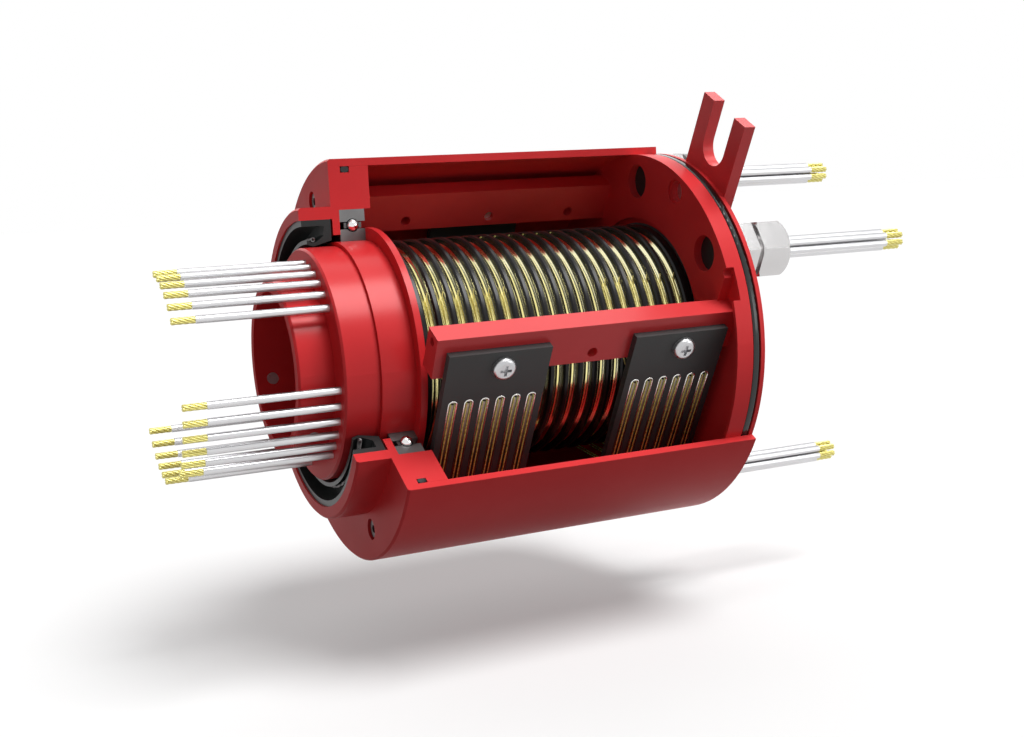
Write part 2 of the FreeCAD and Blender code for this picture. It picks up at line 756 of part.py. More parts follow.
class BrushBlock:
    """A plate on one bar with six wire pairs for six slip rings."""

    def __init__(self, index, place, wire_t, wrap):
        self.place = place
        self.face = place.outer
        self.front = self.face + PLATE_DEPTH
        self.wire_t = wire_t
        self.wrap = wrap
        self.x0 = BLOCK_X[index] - PLATE_SIDE
        self.x1 = BLOCK_X[index] + RING_PITCH * (RINGS_PER_BLOCK - 1) + PLATE_SIDE
        self.screw_x = CROSS_HOLES[index]
        self.rings = [BLOCK_X[index] + RING_PITCH * k for k in range(RINGS_PER_BLOCK)]
        self.strip_top = wire_t + STRIP_CAP
        self.strip_n = self.front - CHANNEL_DEPTH
        self.run_n = self.strip_n + STRIP_THICK + WIRE_SIZE / 2

    def wire_slot(self, x, t, n0, n1):
        """Slot through the plate for one pair of wires."""
        wide = WIRE_SPREAD + WIRE_SIZE / 2 + WIRE_SLOT_PLAY
        high = WIRE_SIZE / 2 + WIRE_SLOT_PLAY
        return block(x - wide, x + wide, n0, n1, t - high, t + high)

    def strip_form(self, x, half, n0, n1, t0):
        """Strip with a round upper end."""
        centre_t = self.strip_top - STRIP_WIDTH / 2
        cap = Part.makeCylinder(half, n1 - n0, V(x, -n1, centre_t), V(0, 1, 0))
        return block(x - half, x + half, n0, n1, t0, centre_t).fuse(cap).removeSplitter()

    def plate(self):
        """Insulating plate with a channel for each contact strip."""
        top = self.place.screw_t + PLATE_ABOVE_SCREW
        body = block(self.x0, self.x1, self.face, self.front, PLATE_BOTTOM, top)
        hole = Part.makeCylinder(
            PLATE_HOLE_R, PLATE_DEPTH + 2, V(self.screw_x, -self.face + 1, self.place.screw_t), V(0, -1, 0))
        body = body.cut(hole)
        for x in self.rings:
            body = body.cut(self.strip_form(x, STRIP_WIDTH / 2, self.strip_n, self.front, PLATE_BOTTOM))
            for t in (self.wire_t, LOWER_WIRE_T):
                body = body.cut(self.wire_slot(x, t, self.face, self.strip_n))
        return self.place.put(body)

    def strips(self):
        """Plated contact strips in the channels, which the wires are soldered to."""
        outer = self.strip_n + STRIP_THICK
        strips = []
        for x in self.rings:
            strip = self.strip_form(x, STRIP_WIDTH / 2 - FIT, self.strip_n, outer, PLATE_BOTTOM)
            for t in (self.wire_t, LOWER_WIRE_T):
                strip = strip.cut(self.wire_slot(x, t, self.strip_n, outer))
            strips.append(self.place.put(strip))
        return strips

    def leg(self, t, side, wrap):
        """Points of one leg from its tip to the back of the plate: tip, arc ends and exit."""
        reach = math.hypot(self.face, t)
        lean = math.atan2(side * t, self.face)
        touch = lean + math.acos(RING_R / reach)
        last = touch + math.radians(wrap)
        tip_way = last + math.pi / 2 - math.radians(WIRE_TIP_LIFT)
        spots = [(RING_R * math.cos(a), RING_R * math.sin(a)) for a in (last, (last + touch) / 2, touch)]
        tip = (spots[0][0] + WIRE_TIP * math.cos(tip_way), spots[0][1] + WIRE_TIP * math.sin(tip_way))
        return [(n, side * up) for n, up in [tip] + spots]

    def wire(self, x):
        """One spring wire: tip, bearing arc, front run and the same again below."""
        upper = self.leg(self.wire_t, 1, self.wrap)
        lower = self.leg(LOWER_WIRE_T, -1, LOWER_WRAP)

        def spot(pair):
            return V(x, -pair[0], pair[1])

        run = [(self.face, self.wire_t), (self.run_n, self.wire_t),
               (self.run_n, LOWER_WIRE_T), (self.face, LOWER_WIRE_T)]
        edges = [Part.LineSegment(spot(upper[0]), spot(upper[1])).toShape()]
        edges.append(Part.Arc(*[spot(pair) for pair in upper[1:]]).toShape())
        corners = [upper[3]] + run + [lower[3]]
        for first, second in zip(corners, corners[1:]):
            edges.append(Part.LineSegment(spot(first), spot(second)).toShape())
        edges.append(Part.Arc(*[spot(pair) for pair in reversed(lower[1:])]).toShape())
        edges.append(Part.LineSegment(spot(lower[1]), spot(lower[0])).toShape())
        path = Part.Wire(edges)
        outline = path.makeOffset2D(WIRE_SIZE / 2, 2, False, False, False)
        solid = Part.Face(outline).extrude(V(WIRE_SIZE, 0, 0))
        solid.translate(V(-WIRE_SIZE / 2, 0, 0))
        return self.place.put(solid)

    def wires(self):
        """Two wires for each ring of the block."""
        places = [x + side * WIRE_SPREAD for x in self.rings for side in (-1, 1)]
        return group([self.wire(x) for x in places])

    def screw(self):
        """Pan-head screw with a cross recess that holds the plate to its bar."""
        t = self.place.screw_t
        out = V(0, -1, 0)
        base = V(self.screw_x, -self.front, t)
        head = Part.makeCylinder(PAN_HEAD_R, PAN_HEAD_HIGH, base, out)
        rim = [edge for edge in head.Edges if abs(edge.CenterOfMass.y + self.front + PAN_HEAD_HIGH) < 0.01]
        head = head.makeFillet(PAN_ROUND, rim)
        shank_start = V(self.screw_x, -self.front + BLOCK_SCREW_LENGTH, t)
        screw = head.fuse(Part.makeCylinder(BLOCK_SCREW_R, BLOCK_SCREW_LENGTH, shank_start, out))
        n0 = self.front + PAN_HEAD_HIGH - RECESS_DEEP
        n1 = self.front + PAN_HEAD_HIGH + 1
        for wide, high in ((RECESS_HALF, RECESS_SLIM), (RECESS_SLIM, RECESS_HALF)):
            screw = screw.cut(block(self.screw_x - wide, self.screw_x + wide, n0, n1, t - high, t + high))
        return self.place.put(screw)


def arm_point(u, v):
    """A point of the torque arm's plane, u outwards along the arm and v across it."""
    return V(FLANGE_REAR, -u, v)


def arm_pin_rod(side, x0, x1, radius):
    """A cylinder along X at one of the arm's two small screws."""
    start = V(x0, -ARM_PIN_R, side * ARM_PIN_SPREAD)
    return turn(Part.makeCylinder(radius, x1 - x0, start, V(1, 0, 0)), ARM_ANGLE)


def torque_arm():
    """Forked plate behind the flange that stops the stator from turning."""
    half = ARM_WIDTH / 2
    slot = ARM_SLOT / 2
    foot = HUB_R + ARM_FOOT_GAP
    centre = ARM_SLOT_FOOT + slot
    lines = [
        (arm_point(centre, slot), arm_point(ARM_TIP, slot)),
        (arm_point(ARM_TIP, slot), arm_point(ARM_TIP, half)),
        (arm_point(ARM_TIP, half), arm_point(foot, half)),
        (arm_point(foot, half), arm_point(foot, -half)),
        (arm_point(foot, -half), arm_point(ARM_TIP, -half)),
        (arm_point(ARM_TIP, -half), arm_point(ARM_TIP, -slot)),
        (arm_point(ARM_TIP, -slot), arm_point(centre, -slot)),
    ]
    edges = [Part.LineSegment(a, b).toShape() for a, b in lines]
    bottom = arm_point(ARM_SLOT_FOOT, 0)
    edges.append(Part.Arc(arm_point(centre, -slot), bottom, arm_point(centre, slot)).toShape())
    plate = Part.Face(Part.Wire(edges)).extrude(V(ARM_THICK, 0, 0))
    plate = turn(plate, ARM_ANGLE)
    rear = FLANGE_REAR + ARM_THICK + 1
    plate = plate.cut(rod(FLANGE_REAR - 1, rear, ARM_BOLT_TAP_R + ARM_BOLT_PLAY, ARM_ANGLE, ARM_BOLT_R))
    for side in (-1, 1):
        plate = plate.cut(arm_pin_rod(side, FLANGE_REAR - 1, rear, CAP_CLEAR_R))
    return plate


def torque_arm_screws():
    """One large bolt and two small screws that hold the arm."""
    under = FLANGE_REAR + ARM_THICK
    bolt = rod(FLANGE_FACE + ARM_BOLT_SHORT, under, ARM_BOLT_TAP_R, ARM_ANGLE, ARM_BOLT_R)
    head = hexagon(under, under + ARM_BOLT_HEAD_HIGH, 2 * ARM_BOLT_HEAD_R, -ARM_BOLT_R, 0)
    screws = [bolt.fuse(turn(head, ARM_ANGLE))]
    for side in (-1, 1):
        shank_end = FLANGE_REAR - ARM_PIN_DEEP + ARM_PIN_END_GAP
        shank = arm_pin_rod(side, shank_end, under, ARM_PIN_HOLE_R)
        pin_head = arm_pin_rod(side, under, under + CAP_HEAD_HIGH, CAP_HEAD_R)
        socket = hexagon(under + CAP_HEAD_HIGH - SOCKET_DEEP, under + CAP_HEAD_HIGH + 1, SOCKET_AF,
                         -ARM_PIN_R, side * ARM_PIN_SPREAD)
        screws.append(shank.fuse(pin_head).cut(turn(socket, ARM_ANGLE)))
    return group(screws)


def gland_body(angle):
    """Threaded gland body with its hexagon against the flange."""
    hexagon_end = FLANGE_REAR + GLAND_HEX_LONG
    shank = rod(FLANGE_REAR - GLAND_THREAD_LONG, FLANGE_REAR, GLAND_THREAD_R)
    nut = hexagon(FLANGE_REAR, hexagon_end, GLAND_HEX)
    neck = rod(hexagon_end, GLAND_NUT_X + GLAND_NUT_LONG / 2, GLAND_THREAD_R)
    collar = rod(hexagon_end, GLAND_NUT_X, GLAND_NECK_R)
    bore = rod(FLANGE_REAR - GLAND_THREAD_LONG - 1, GLAND_END, GLAND_BORE_R)
    body = shank.fuse([nut, neck, collar]).cut(bore)
    body.translate(V(0, -GLAND_CIRCLE_R, 0))
    return turn(body, angle)


def gland_nut(angle):
    """Dome nut that squeezes the insert: a hexagon with a chamfer below and a dome above."""
    corner = GLAND_HEX / math.sqrt(3)
    dome_x = GLAND_END - GLAND_DOME_LONG
    bulge = math.sqrt(0.5)
    shoulder = V(dome_x, -corner, 0)
    rim = V(GLAND_END, -GLAND_RIM_R, 0)
    middle = V(dome_x + GLAND_DOME_LONG * bulge, -GLAND_RIM_R - (corner - GLAND_RIM_R) * bulge, 0)
    foot = [V(GLAND_NUT_X, 0, 0), V(GLAND_NUT_X, GLAND_CHAMFER - corner, 0), V(GLAND_NUT_X + GLAND_CHAMFER, -corner, 0)]
    points = [rim, V(GLAND_END, 0, 0)] + foot + [shoulder]
    edges = [Part.LineSegment(p, q).toShape() for p, q in zip(points, points[1:])]
    edges.append(Part.Arc(shoulder, middle, rim).toShape())
    form = Part.Face(Part.Wire(edges)).revolve(V(0, 0, 0), V(1, 0, 0), 360)
    bore = rod(GLAND_NUT_X - 1, GLAND_END - GLAND_MOUTH_LONG, GLAND_THREAD_R + FIT)
    mouth = rod(GLAND_END - GLAND_MOUTH_LONG - 1, GLAND_END + 1, GLAND_MOUTH_R)
    nut = hexagon(GLAND_NUT_X, GLAND_END, GLAND_HEX).common(form).cut(bore).cut(mouth)
    nut.translate(V(0, -GLAND_CIRCLE_R, 0))
    return turn(nut, angle)


def bundle_spots():
    """Offsets of the six leads of a bundle from the gland's axis."""
    steps = [math.radians(60 * k) for k in range(LEADS_IN_GROUP)]
    return [(BUNDLE_R * math.cos(a), BUNDLE_R * math.sin(a)) for a in steps]


def gland_insert(angle):
    """Rubber insert: a face over the thread's end, a plug in the bore and one hole for each lead."""
    start = FLANGE_REAR - GLAND_THREAD_LONG
    plug = rod(start - INSERT_FACE, start, GLAND_THREAD_R)
    plug = plug.fuse(rod(start, GLAND_END - GLAND_MOUTH_LONG, GLAND_BORE_R - FIT))
    plug = plug.fuse(rod(GLAND_END - GLAND_MOUTH_LONG, GLAND_END - INSERT_SHORT, GLAND_MOUTH_R - FIT))
    for dy, dz in bundle_spots():
        start_point = V(FLANGE_REAR, dy, dz)
        plug = plug.cut(Part.makeCylinder(LEAD_R + PRESS, GLAND_END - FLANGE_REAR, start_point, V(1, 0, 0)))
    plug.translate(V(0, -GLAND_CIRCLE_R, 0))
    return turn(plug, angle)


def lead(x_root, x_end, y, z):
    """One insulated lead with a stripped tip, along X."""
    way = 1 if x_end > x_root else -1
    axis = V(way, 0, 0)
    bare_x = x_end - way * STRIPPED
    jacket = Part.makeCylinder(LEAD_R, abs(bare_x - x_root), V(x_root, y, z), axis)
    core = Part.makeCylinder(CORE_R, STRIPPED, V(bare_x, y, z), axis)
    return jacket.fuse(core)


def stator_leads():
    """Three bundles of six leads that leave the glands."""
    leads = []
    for angle in GLAND_ANGLES:
        for dy, dz in bundle_spots():
            one = lead(FLANGE_REAR + LEAD_ROOT_GAP, STATOR_LEAD_END, dy - GLAND_CIRCLE_R, dz)
            leads.append(turn(one, angle))
    return group(leads)


def lead_angles():
    """Clock angles of the eighteen rotor leads, in three groups of six."""
    angles = []
    for middle in LEAD_GROUP_ANGLES:
        first = middle - LEAD_STEP * (LEADS_IN_GROUP - 1) / 2
        angles += [first + LEAD_STEP * k for k in range(LEADS_IN_GROUP)]
    return angles


def rotor_leads():
    """Eighteen leads that leave the rotor's front face."""
    one = lead(BARREL_START - LEAD_ROOT_GAP, ROTOR_LEAD_END, -LEAD_CIRCLE_R, 0)
    return group([turn(one, angle) for angle in lead_angles()])


def main():
    """Builds every node."""
    os.makedirs("parts", exist_ok=True)
    save("front_housing", front_housing())
    save("cover_sleeve", cover_sleeve())
    save("rear_flange", rear_flange())
    save("frame_bar_front", front_bar())
    save("frame_bar_rear", drilled_bar(REAR_BAR))
    save("frame_bar_lower", plain_bar(LOWER_BAR))
    save("housing_screws", housing_screws())
    save("flange_screws", flange_screws())
    save("housing_o_ring", o_ring(FRONT_GROOVE_X, True))
    save("flange_o_ring", o_ring(REAR_GROOVE_X, False))
    save("shaft_seal", shaft_seal())
    save("seal_spring", seal_spring())
    front = Bearing(FRONT_X, FRONT_WIDTH, FRONT_BORE_R, FRONT_OUT_R, FRONT_BALL, FRONT_BALLS, True)
    rear = Bearing(REAR_X, REAR_WIDTH, REAR_BORE_R, REAR_OUT_R, REAR_BALL, REAR_BALLS, False)
    for name, bearing in (("front", front), ("rear", rear)):
        save(name + "_outer_race", bearing.outer_race())
        save(name + "_inner_race", bearing.inner_race())
        save(name + "_balls", bearing.balls())
        save(name + "_ball_cage", bearing.cage())
    save("bore_tube", bore_tube())
    save("rotor_set_screws", set_screws())
    save("rotor_hub", rotor_hub())
    save("bearing_circlip", bearing_circlip())
    save("ring_barrel", ring_barrel())
    for index in range(RING_COUNT):
        save("slip_ring_%02d" % (index + 1), slip_ring(index))
    blocks = (
        BrushBlock(0, FRONT_BAR, FRONT_WIRE_T, FRONT_WRAP),
        BrushBlock(1, REAR_BAR, REAR_WIRE_T, REAR_WRAP),
        BrushBlock(2, FRONT_BAR, FRONT_WIRE_T, FRONT_WRAP),
    )
    strips = []
    for number, brush in enumerate(blocks, 1):
        save("brush_plate_%d" % number, brush.plate())
        save("brush_wires_%d" % number, brush.wires())
        strips += brush.strips()
    save("contact_strips", group(strips))
    save("block_screws", group([brush.screw() for brush in blocks]))
    save("torque_arm", torque_arm())
    save("torque_arm_screws", torque_arm_screws())
    save("gland_bodies", group([gland_body(angle) for angle in GLAND_ANGLES]))
    save("gland_nuts", group([gland_nut(angle) for angle in GLAND_ANGLES]))
    save("gland_inserts", group([gland_insert(angle) for angle in GLAND_ANGLES]))
    save("stator_leads", stator_leads())
    save("rotor_leads", rotor_leads())


main()
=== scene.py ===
"""Looks of the cut-away slip ring: its finishes, its free leads, its fine pieces and the studio round it."""

import logging
import math
from collections.abc import Sequence
from dataclasses import dataclass, field
from enum import Enum

import bmesh
import bpy
from mathutils import Matrix, Vector


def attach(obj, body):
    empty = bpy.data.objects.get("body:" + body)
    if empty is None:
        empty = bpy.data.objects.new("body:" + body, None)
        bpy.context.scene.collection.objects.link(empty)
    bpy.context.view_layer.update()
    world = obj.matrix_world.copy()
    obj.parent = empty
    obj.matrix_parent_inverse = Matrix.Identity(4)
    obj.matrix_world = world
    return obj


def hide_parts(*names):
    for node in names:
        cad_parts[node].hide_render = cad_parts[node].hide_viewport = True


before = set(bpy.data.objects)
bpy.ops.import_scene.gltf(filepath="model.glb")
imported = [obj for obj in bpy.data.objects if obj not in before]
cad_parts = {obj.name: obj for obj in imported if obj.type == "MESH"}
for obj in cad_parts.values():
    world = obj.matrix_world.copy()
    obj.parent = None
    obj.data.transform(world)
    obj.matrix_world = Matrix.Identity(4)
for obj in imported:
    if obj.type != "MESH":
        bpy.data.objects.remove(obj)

log = logging.getLogger("slip_ring")
MM = 0.001
SHARP_ANGLE = 40.0
# A Mix node has sockets for numbers and vectors before those for colours, so they are found by their places
MIX_SHARE, MIX_FIRST, MIX_SECOND, MIX_RESULT = 0, 6, 7, 2
Color = tuple[float, float, float, float]
Triple = tuple[float, float, float]
Span = tuple[float, float]
Outline = list[tuple[float, float]]


def rgb(red: float, green: float, blue: float) -> Color:
    """Returns an opaque linear colour."""
    return (red, green, blue, 1.0)


def grey(level: float) -> Color:
    """Returns an opaque linear grey."""
    return rgb(level, level, level)


class Way(Enum):
    """How a metal surface was machined: how many fine marks it has along each axis, per metre."""

    TURNED = (9000.0, 60.0, 60.0)
    MILLED = (120.0, 5200.0, 5200.0)


class Socket:
    """A number in a shader, which plain arithmetic builds on."""

    def __init__(self, graph: "Graph", link: bpy.types.NodeSocket) -> None:
        """Wraps one output socket of a graph."""
        self.graph = graph
        self.link = link

    def _math(self, operation: str, first: "Socket | float", second: "Socket | float") -> "Socket":
        """Adds one Math node.

        Args:
            operation: The Math node's operation.
            first: Its first value.
            second: Its second value.

        Returns:
            The node's result.
        """
        return self.graph.node("ShaderNodeMath", {"operation": operation}, {0: first, 1: second})

    def __add__(self, other: "Socket | float") -> "Socket":
        """Sum."""
        return self._math("ADD", self, other)

    __radd__ = __add__

    def __sub__(self, other: "Socket | float") -> "Socket":
        """Difference."""
        return self._math("SUBTRACT", self, other)

    def __rsub__(self, other: float) -> "Socket":
        """Difference from a number."""
        return self._math("SUBTRACT", other, self)

    def __mul__(self, other: "Socket | float") -> "Socket":
        """Product."""
        return self._math("MULTIPLY", self, other)

    __rmul__ = __mul__

    def __pow__(self, other: float) -> "Socket":
        """Power."""
        return self._math("POWER", self, other)


class Graph:
    """A node tree, in which values are wrapped sockets."""

    def __init__(self, tree: bpy.types.NodeTree) -> None:
        """Wraps a node tree."""
        self.tree = tree

    def node(
        self, kind: str, settings: dict[str, object], values: dict[int | str, object], result: int | str = 0
    ) -> Socket:
        """Adds one node.

        Args:
            kind: The node's type.
            settings: Its own settings, set first.
            values: Numbers, colours or sockets for its inputs.
            result: The output to use.

        Returns:
            The wrapped output.
        """
        made = self.tree.nodes.new(kind)
        for name, value in settings.items():
            setattr(made, name, value)
        for name, value in values.items():
            self.feed(made.inputs[name], value)
        return Socket(self, made.outputs[result])

    def feed(self, target: bpy.types.NodeSocket, value: object) -> None:
        """Links a socket to an input, or sets the input's own value.

        Args:
            target: The input.
            value: A wrapped socket, a number or a colour.
        """
        if isinstance(value, Socket):
            self.tree.links.new(value.link, target)
        else:
            target.default_value = value

    def place(self) -> Socket:
        """Returns the point in the object's own space, in metres."""
        return self.node("ShaderNodeTexCoord", {}, {}, "Object")

    def normal(self) -> Socket:
        """Returns the way the surface faces, in the object's own space."""
        return self.node("ShaderNodeTexCoord", {}, {}, "Normal")

    def axis(self, point: Socket, letter: str) -> Socket:
        """Returns one coordinate of a point."""
        return self.node("ShaderNodeSeparateXYZ", {}, {0: point}, letter)

    def stretched(self, point: Socket, scale: Triple) -> Socket:
        """Returns a point with each coordinate scaled."""
        return self.node("ShaderNodeVectorMath", {"operation": "MULTIPLY"}, {0: point, 1: scale})

    def noise(self, point: Socket, scale: float, detail: float) -> Socket:
        """Returns noise from 0 to 1 at a point."""
        return self.node("ShaderNodeTexNoise", {}, {"Vector": point, "Scale": scale, "Detail": detail})

    def marks(self, closeness: Triple, detail: float) -> Socket:
        """Returns the height of fine marks, from how many lie along each axis per metre."""
        return self.noise(self.stretched(self.place(), closeness), 1.0, detail)

    def ramp(self, value: Socket, low: float, high: float) -> Socket:
        """Returns a value moved from low and high to 0 and 1, and held there."""
        return self.node("ShaderNodeMapRange", {"clamp": True}, {0: value, 1: low, 2: high})

    def mixed(self, share: Socket, first: "Socket | Color", second: "Socket | Color") -> Socket:
        """Returns a mix of two colours.

        Args:
            share: The share of the second colour.
            first: The colour at 0.
            second: The colour at 1.

        Returns:
            The mixed colour.
        """
        inputs = {MIX_SHARE: share, MIX_FIRST: first, MIX_SECOND: second}
        return self.node("ShaderNodeMix", {"data_type": "RGBA"}, inputs, MIX_RESULT)

    def upward(self, low: float = 0.4, high: float = 0.8) -> Socket:
        """Returns 1 on upward faces and 0 on upright ones."""
        return self.ramp(self.axis(self.normal(), "Z"), low, high)

    def bump(self, height: Socket, depth: float) -> Socket:
        """Returns the normal of a bumpy surface, from a height of 0 to 1 and the depth of 1 in metres."""
        return self.node("ShaderNodeBump", {}, {"Height": height, "Distance": depth, "Strength": 1.0})

    def seen(self) -> Socket:
        """Returns 1 where the camera, or gloss or glass, looks straight at what has these nodes."""
        kinds = ("Camera", "Glossy", "Transmission")
        rays = [self.node("ShaderNodeLightPath", {}, {}, f"Is {kind} Ray") for kind in kinds]
        return self.ramp(rays[0] + rays[1] + rays[2], 0.0, 1.0)


class Skin(Graph):
    """The node tree of one material, with its surface shader."""

    def __init__(self, name: str) -> None:
        """Starts a material with a surface shader.

        Args:
            name: The material's name.
        """
        self.material = bpy.data.materials.new(name)
        self.material.use_nodes = True
        super().__init__(self.material.node_tree)
        self.tree.nodes.clear()
        output = self.tree.nodes.new("ShaderNodeOutputMaterial")
        self.shader = self.tree.nodes.new("ShaderNodeBsdfPrincipled")
        self.tree.links.new(self.shader.outputs["BSDF"], output.inputs["Surface"])

    def surface(self, **values: object) -> None:
        """Sets inputs of the surface shader, with _ for a space in their names."""
        for name, value in values.items():
            self.feed(self.shader.inputs[name.replace("_", " ")], value)


@dataclass(frozen=True)
class Anodised:
    """Red anodised aluminium with the fine marks of the machine under the colour.

    Attributes:
        way: How the piece was machined.
        name: The start of the material's name.
        base: Its colour, which drifts to pale.
        coat_fade: How squarely a face looks along the axis where it has no coat, and where it has all of it.
        bore: The radius of the piece's bore in metres, or 0 for none.
        bore_margin: How far out from the bore's wall the finish goes over to that of the outside.
        bore_roughness: How much rougher the bore's wall is.
    """

    way: Way
    name: str = "red_anodised"
    base: Color = rgb(0.625, 0.026, 0.030)
    pale: Color = rgb(0.655, 0.031, 0.035)
    roughness: float = 0.42
    metallic: float = 0.04
    ior: float = 1.12
    coat: float = 0.9
    coat_ior: float = 1.28
    coat_roughness: float = 0.26
    coat_fade: Span = (0.92, 0.55)
    cloud_scale: float = 38.0
    cloud_detail: float = 3.0
    cloud_span: Span = (0.35, 0.7)
    mark_depth: float = 0.000012
    mark_detail: float = 1.0
    mark_roughness: float = 0.08
    bore: float = 0.0
    bore_margin: Span = (0.1 * MM, 0.3 * MM)
    bore_roughness: float = 0.2

    def build(self) -> bpy.types.Material:
        """Returns the material."""
        skin = Skin(self.name + "_" + self.way.name.lower())
        cloud = skin.noise(skin.place(), self.cloud_scale, self.cloud_detail)
        marks = skin.marks(self.way.value, self.mark_detail)
        outer = self.outside_bore(skin)
        uneven = self.roughness - self.mark_roughness / 2 + self.mark_roughness * marks
        skin.surface(
            Base_Color=skin.mixed(skin.ramp(cloud, *self.cloud_span), self.base, self.pale),
            Metallic=self.metallic,
            IOR=self.ior,
            Roughness=uneven + self.bore_roughness * (1.0 - outer),
            Normal=skin.bump(marks, self.mark_depth),
            Coat_Weight=self.coat * outer * skin.ramp(self.facing(skin), *self.coat_fade),
            Coat_IOR=self.coat_ior,
            Coat_Roughness=self.coat_roughness,
        )
        return skin.material

    @staticmethod
    def facing(skin: Skin) -> Socket:
        """Returns how squarely a face looks along the axis. Such faces are duller than the round sides."""
        along = skin.axis(skin.normal(), "X")
        return (along * along) ** 0.5

    def outside_bore(self, skin: Skin) -> "Socket | float":
        """Returns 0 on the wall of the bore, which is duller, and 1 elsewhere.

        Args:
            skin: The material's nodes.

        Returns:
            A socket where the piece has a bore, or else the number 1.
        """
        if not self.bore:
            return 1.0
        place = skin.place()
        across, up = skin.axis(place, "Y"), skin.axis(place, "Z")
        radius = (across * across + up * up) ** 0.5
        low, high = self.bore_margin
        return skin.ramp(radius, self.bore + low, self.bore + high)


@dataclass(frozen=True)
class Metal:
    """A bare or plated metal, which can have painted shade on its upward faces and painted light or shade in
    its low parts.

    Attributes:
        name: The material's name.
        base: Its colour, which drifts to shade.
        grain: How many fine marks it has along each axis, per metre.
        depth: How deep they are, in metres.
        uneven: The share by which the marks vary the roughness.
        top: A painted shade for its upward faces, if any, which darkens them to stand in for how the light
            falls.
        low: A painted light or shade for its low parts, if any, standing in for reflections and shade there.
        fade: The heights in metres between which the painted low tone goes over to base.
    """

    name: str
    base: Color
    shade: Color
    roughness: float
    metallic: float = 1.0
    grain: Triple = (900.0, 900.0, 900.0)
    depth: float = 0.000006
    grain_detail: float = 2.0
    uneven: float = 0.4
    cloud_scale: float = 120.0
    cloud_detail: float = 2.0
    cloud_span: Span = (0.3, 0.75)
    top: Color | None = None
    low: Color | None = None
    fade: Span = (-0.024, -0.010)

    def tone(self, skin: Skin) -> Socket:
        """Returns the colour at each point.

        Args:
            skin: The material's nodes.

        Returns:
            The colour, which drifts from base to shade, with any painted shade on upward faces and painted
            light or shade low down.
        """
        cloud = skin.noise(skin.place(), self.cloud_scale, self.cloud_detail)
        tone = skin.mixed(skin.ramp(cloud, *self.cloud_span), self.base, self.shade)
        # Painted shade: upward faces go over to the darker top colour, standing in for how the light falls.
        if self.top is not None:
            tone = skin.mixed(skin.upward(), tone, self.top)
        # Painted light or shade: below the fade heights the tone goes over to the low colour, standing in for
        # reflections and shade.
        if self.low is not None:
            height = skin.axis(skin.place(), "Z")
            tone = skin.mixed(skin.ramp(height, *self.fade), self.low, tone)
        return tone

    def build(self) -> bpy.types.Material:
        """Returns the material."""
        skin = Skin(self.name)
        marks = skin.marks(self.grain, self.grain_detail)
        skin.surface(
            Base_Color=self.tone(skin),
            Metallic=self.metallic,
            Roughness=self.roughness * (1.0 - self.uneven / 2) + self.roughness * self.uneven * marks,
            Normal=skin.bump(marks, self.depth),
        )
        return skin.material


@dataclass(frozen=True)
class Moulded:
    """A moulded or cut plastic or rubber, which can have painted shade on its upward faces.

    Attributes:
        name: The material's name.
        base: Its colour, which drifts to shade.
        grain: How close the grains of its surface lie, per metre.
        depth: How deep they are, in metres.
        uneven: How much the roughness varies.
        top: A painted shade for its upward faces, if any, which darkens them to stand in for how the light
            falls.
    """

    name: str
    base: Color
    shade: Color
    roughness: float
    gloss: float = 0.5
    metallic: float = 0.0
    grain: float = 2600.0
    grain_detail: float = 2.0
    depth: float = 0.00001
    uneven: float = 0.06
    cloud_scale: float = 60.0
    cloud_detail: float = 3.0
    cloud_span: Span = (0.3, 0.7)
    top: Color | None = None

    def build(self) -> bpy.types.Material:
        """Returns the material."""
        skin = Skin(self.name)
        grain = skin.noise(skin.place(), self.grain, self.grain_detail)
        cloud = skin.noise(skin.place(), self.cloud_scale, self.cloud_detail)
        tone = skin.mixed(skin.ramp(cloud, *self.cloud_span), self.base, self.shade)
        # Painted shade: upward faces go over to the darker top colour.
        if self.top is not None:
            tone = skin.mixed(skin.upward(), tone, self.top)
        skin.surface(
            Base_Color=tone,
            Metallic=self.metallic,
            Specular_IOR_Level=self.gloss,
            Roughness=self.roughness - self.uneven / 2 + self.uneven * cloud,
            Normal=skin.bump(grain, self.depth),
        )
        return skin.material


